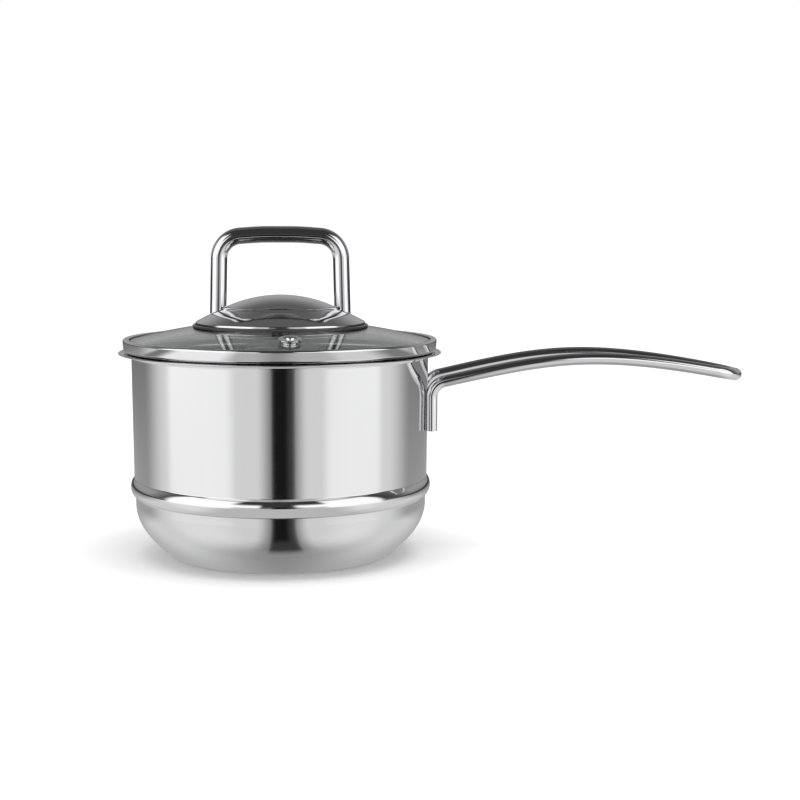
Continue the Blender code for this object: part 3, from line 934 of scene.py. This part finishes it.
def studio_piece(name, shape, coat, *unseen_by):
    """A thing of the studio, which the kinds of ray named don't see."""
    mesh = bpy.data.meshes.new(name)
    shape.to_mesh(mesh)
    shape.free()
    mesh.materials.append(coat)
    made = bpy.data.objects.new(name, mesh)
    bpy.context.scene.collection.objects.link(made)
    for rays in unseen_by:
        setattr(made, "visible_" + rays, False)
    return made


def studio_tent():
    """The softboxes and cloths of the studio, as the metal and the glass see them.

    Each card is laid over those before it: bearings from and to, their softness, elevations from
    and to, their softness, and its level as a share of full white. Angles are in degrees, bearings
    from the camera's side. Where no card hangs, the room has a level of its own.
    """
    room = 0.14
    cards = (
        ("pale wall behind", 105, 255, 14, 1, 32, 14, 0.42),
        ("cloth behind the table", -200, 200, 1, -130, -6.5, 3, 0.42),
        ("lit table", -112, 105, 15, -130, -4, 1.5, 0.90),
        ("lit table, near part", -150, 150, 34, -130, -15, 7, 0.88),
        ("shade near the object", -200, 200, 1, -140, -64, 24, 0.36),
        ("dark ceiling", -100, 100, 25, 0, 130, 1, 0.05),
        ("dark room over the table", -100, 100, 8, -3.5, 0, 0.8, 0.28),
        ("dark room behind", 101, 272, 6, -3.5, 1.5, 1.5, 0.04),
        ("glow of the left softbox", -92, -42, 16, -50, -2, 20, 1.04),
        ("glow of the right softbox", 44, 84, 16, -50, -2, 20, 1.04),
        ("left softbox", -94, -37, 5, -8, 50, 6, 1.50),
        ("right softbox", 35, 82, 4, -8, 50, 6, 1.45),
        ("left softbox's low panel", -60, -15, 2, 1, 23, 11, 1.60),
        ("right softbox's low panel", 11, 60, 3, 1, 23, 11, 1.60),
    )
    made, tree = bare_material("studio_tent")
    place = object_place(tree)
    aim = add(tree, "ShaderNodeVectorMath", {0: place}, operation="NORMALIZE")
    parts = add(tree, "ShaderNodeSeparateXYZ", {0: aim.outputs[0]})
    rise = worked_out(tree, "ARCSINE", parts.outputs[2])
    climb = worked_out(tree, "MULTIPLY", rise, math.degrees(1))
    bearing = bearing_of(tree, place)
    # Bearings go on past 180 for the cards that stand behind
    behind = worked_out(tree, "WRAP", bearing, 360.0, 0.0)
    shade = room
    for _, left, right, side_soft, low, high, rise_soft, level in cards:
        across = between(tree, behind if right > 200 else bearing, left, right, side_soft)
        above = between(tree, climb, low, high, rise_soft)
        shade = laid_over(tree, shade, level, worked_out(tree, "MULTIPLY", across, above))
    light_up(tree, shade)
    shape = bmesh.new()
    bmesh.ops.create_uvsphere(shape, u_segments=128, v_segments=64, radius=TENT_RADIUS)
    tent = studio_piece("studio_tent", shape, made, "camera", "diffuse", "shadow")


def painted_reflection_flag():
    """Black cloth hung by the camera, which only the metal and glass see: the painted dark strip
    on the pan's front.

    It runs on over the table, bent round the object at the camera's distance, so that the handle
    sees past its side. Its edges are in metres to the right of the pan's axis and in degrees above
    the middle of the pan.
    """
    distance = 0.86
    centre = 0.08
    sides = (-0.27, 0.32)
    half_dark, dark, black = 0.25, 0.055, 0.012
    made, tree = bare_material("painted_reflection_flag")
    place = add(tree, "ShaderNodeSeparateXYZ", {0: object_place(tree)})
    sideways = place.outputs[0]
    rise = worked_out(tree, "SUBTRACT", place.outputs[2], centre)
    rise = worked_out(tree, "DIVIDE", rise, distance)
    climb = worked_out(tree, "MULTIPLY", worked_out(tree, "ARCSINE", rise), math.degrees(1))
    # The cloth lets some light by at its sides, and its middle is black down to the table
    dark_part = between(tree, sideways, -0.0905, 0.159, 0.013)
    black_across = between(tree, sideways, -0.077, 0.079, 0.031)
    black_part = worked_out(tree, "MULTIPLY", black_across, between(tree, climb, -50, 60, 10))
    shade = laid_over(tree, half_dark, dark, dark_part)
    shade = laid_over(tree, shade, black, black_part)
    across = between(tree, sideways, -0.159, 0.212, 0.105)
    cover = worked_out(tree, "MULTIPLY", across, between(tree, climb, -76, 4, 8))
    light_up(tree, shade, cover)
    rows = []
    for angle in range(-88, 17, 4):
        aim = math.radians(angle)
        y, z = -distance * math.cos(aim), centre + distance * math.sin(aim)
        rows.append([(x, y, z) for x in sides])
    cloth = studio_piece("painted_reflection_flag", band(rows), made, "camera", "diffuse", "shadow")


def painted_reflection_card(name, height, inner, outer, half, soft, level, *cards):
    """A card laid flat round the front of the object, with others over it, that paints a
    reflection.

    Only the metal just above it sees it, as a painted highlight or dark patch; it lights nothing.
    Its angles are bearings in degrees, half being its end.
    """
    made, tree = bare_material(name)
    bearing = bearing_of(tree, object_place(tree))
    shade = level
    for left, right, side_soft, share in cards:
        shade = laid_over(tree, shade, share, between(tree, bearing, left, right, side_soft))
    # The card fades out at its ends, so it leaves no edge on the metal
    light_up(tree, shade, between(tree, bearing, soft - half, half - soft, soft))
    rows = []
    for angle in range(-half, half + 1, 2):
        aim = math.radians(angle)
        rows.append([(r * math.sin(aim), -r * math.cos(aim), height) for r in (inner, outer)])
    rays = ("camera", "diffuse", "transmission", "shadow")
    card = studio_piece(name, band(rows), made, *rays)


def studio_floor():
    """A pale table. The camera sees it as white where no shadow falls."""
    sheen = {"Roughness": 0.9, "Specular_IOR_Level": 0.0, "Emission_Color": (1, 1, 1, 1)}
    made, tree, shader = finish("pale_table", Base_Color=linear("#F8F8F8"), **sheen)
    path = add(tree, "ShaderNodeLightPath")
    reach = add(tree, "ShaderNodeVectorMath", {0: object_place(tree)}, operation="LENGTH")
    # The softbox only reaches the middle of the table, so the far part is lifted to white instead
    far = ranged(tree, reach.outputs["Value"], 0.25, 1.2, 0.0, 0.25)
    lift = worked_out(tree, "MULTIPLY", path.outputs["Is Camera Ray"], far)
    tree.links.new(lift, shader.inputs["Emission Strength"])
    shape = bmesh.new()
    bmesh.ops.create_circle(shape, cap_ends=True, radius=TABLE_RADIUS, segments=96)
    table = studio_piece("studio_table", shape, made, "glossy")


def studio_light():
    """White all round as the background, a plain even light, and a softbox overhead."""
    white, even_light = 1.0, 0.95
    world = bpy.data.worlds.new("studio")
    bpy.context.scene.world = world
    world.use_nodes = True
    tree = world.node_tree
    back = tree.nodes["Background"]
    back.inputs["Color"].default_value = (1, 1, 1, 1)
    rays = add(tree, "ShaderNodeLightPath").outputs
    seen = worked_out(tree, "ADD", rays["Is Camera Ray"], rays["Is Glossy Ray"])
    seen = worked_out(tree, "ADD", seen, rays["Is Transmission Ray"])
    strength = ranged(tree, seen, 0.0, 1.0, even_light, white)
    tree.links.new(strength, back.inputs["Strength"])
    lamp = bpy.data.lights.new("overhead_softbox", "AREA")
    lamp.shape = "RECTANGLE"
    lamp.size = 1.0
    lamp.size_y = 0.8
    lamp.energy = 9.0
    box = bpy.data.objects.new("overhead_softbox", lamp)
    box.location = (0.1, -0.2, 1.3)
    box.rotation_euler = (math.radians(-8), math.radians(4), 0)
    box.visible_glossy = False
    box.visible_transmission = False
    bpy.context.scene.collection.objects.link(box)


def photo_camera():
    """The photograph's camera, fitted to the pan's rims, base and handles.

    A 72 mm lens, 0.87 m away, looking 6.7 degrees down and turned 3.5 degrees to the right.
    """
    photo_width = 800
    focal_pixels = 1596.9
    place = (0.01218, -0.8721, 0.186)
    yaw, down, roll = math.radians(3.49), math.radians(6.66), math.radians(0.17)
    flat = math.cos(down)
    forward = Vector((math.sin(yaw) * flat, math.cos(yaw) * flat, -math.sin(down)))
    right = Vector((math.cos(yaw), -math.sin(yaw), 0.0))
    up = right.cross(forward)
    across = right * math.cos(roll) + up * math.sin(roll)
    upright = up * math.cos(roll) - right * math.sin(roll)
    data = bpy.data.cameras.new("photo_camera")
    data.sensor_width = 36.0
    data.lens = focal_pixels * data.sensor_width / photo_width
    camera = bpy.data.objects.new("photo_camera", data)
    turn = Matrix((across, upright, -forward)).transposed()
    camera.matrix_world = Matrix.Translation(place) @ turn.to_4x4()
    bpy.context.scene.collection.objects.link(camera)
    bpy.context.scene.camera = camera


def main():
    bpy.context.scene.view_settings.view_transform = "Standard"
    photo_camera()
    studio_tent()
    painted_reflection_flag()
    # The bead card glows under the bead as a painted highlight band on its lower half
    under_bead = BEAD_CENTRE - BEAD_WIDTH / 2 - 0.0001
    beside_bowl = POT_RADIUS - 0.0009
    painted_reflection_card("bead_painted_highlight_card", under_bead, beside_bowl, CARD_REACH, 36, 8, 0.68)
    # The rim card glows as the painted reflection in the ring's lower band, with bright and dark
    # patches along it
    above_flange = POT_HEIGHT + 0.0002
    beside_flange = POT_RADIUS + FLANGE_WIDTH + 0.0005
    painted_reflection_card(
        "rim_painted_reflection_card", above_flange, beside_flange, CARD_REACH, 64, 3, 0.62,
        (-90, -51, 5, 0.25),
        (-49, -20, 4, 1.20),
        (-4, 2.5, 7, 0.28),
        (22, 41, 4, 0.88),
        (46, 90, 5, 0.28),
    )
    studio_floor()
    studio_light()

    sheet = mirror_polished_stainless()
    bar = polished_round_bar()
    turned = turned_stainless()
    burnished = turned_stainless("burnished_stainless", "#D4D4D6", 0.08)
    rolled = mirror_polished_stainless("roll_polished_stainless", 0.08)
    pane = tempered_glass()
    black = moulded_silicone("black_silicone", "#1B1B1C", 0.0)
    clear = moulded_silicone("clear_silicone", "#C9CCCB", 0.6)
    glossy = moulded_silicone("glossy_dark_silicone", "#3E3E40", 0.0, 0.3)

    tree = rod_tree()
    make_pot_body(sheet)
    make_long_handle(tree, bar)
    make_rim_ring(rolled)
    make_rim_bedding(clear)
    make_lid_glass(pane)
    make_vent(burnished, black)
    make_rosette(sheet)
    make_rosette_gasket(glossy)
    make_lid_handle(tree, bar)
    for node, coat in (
        ("vent_washer", turned),
        ("rosette_boss", turned),
        ("lid_screw", turned),
        ("screw_washer", turned),
        ("inner_seal", black),
    ):
        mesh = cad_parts[node].data
        mesh.materials.clear()
        mesh.materials.append(coat)


main()
